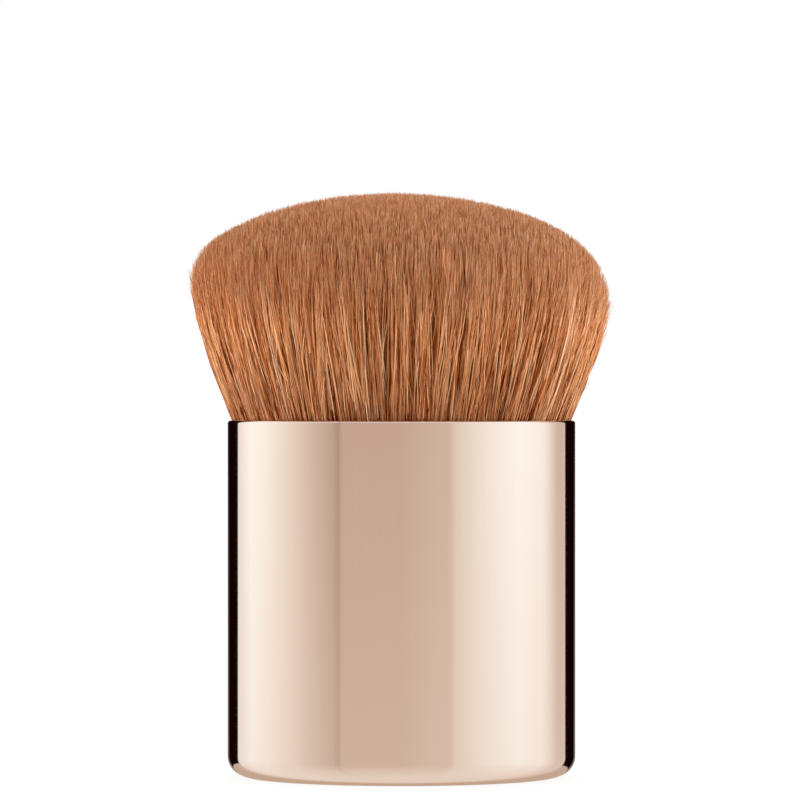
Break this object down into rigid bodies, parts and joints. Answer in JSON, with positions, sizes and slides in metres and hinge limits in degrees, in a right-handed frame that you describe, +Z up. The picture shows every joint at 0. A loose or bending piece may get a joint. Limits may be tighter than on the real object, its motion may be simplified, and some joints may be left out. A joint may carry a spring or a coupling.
{
  "type": "kabuki makeup brush",
  "caption": "Short, dense makeup brush: a domed head of fine bristles that flares out of a polished metal barrel with a rounded, closed base.",
  "frame": {"origin": "middle of the base, on the surface that the brush stands on", "axes": "+Z up the barrel's axis towards the bristles; the pictured side faces -Y, with +X to its right"},
  "size_m": [0.0471, 0.0473, 0.0671],
  "materials": {
    "polished_shell": "polished, pale rose-gold anodised",
    "weight_steel": "turned",
    "foam_tape": "closed-cell foam",
    "core_plastic": "moulded, matt",
    "cup_aluminium": "drawn, bare",
    "hot_glue": "waxy, translucent",
    "cast_resin": "cast, amber",
    "cotton_thread": "wound thread",
    "bristle_fibre": "fine soft filaments, tapered"
  },
  "bodies": {
    "root": {"outer_shell": "polished_shell", "base_weight": "weight_steel", "weight_tape": "foam_tape", "handle_core": "core_plastic", "tuft_cup": "cup_aluminium", "cup_adhesive": "hot_glue", "resin_plug": "cast_resin", "binding_thread": "cotton_thread", "bristles": "bristle_fibre"}
  },
  "joints": []
}
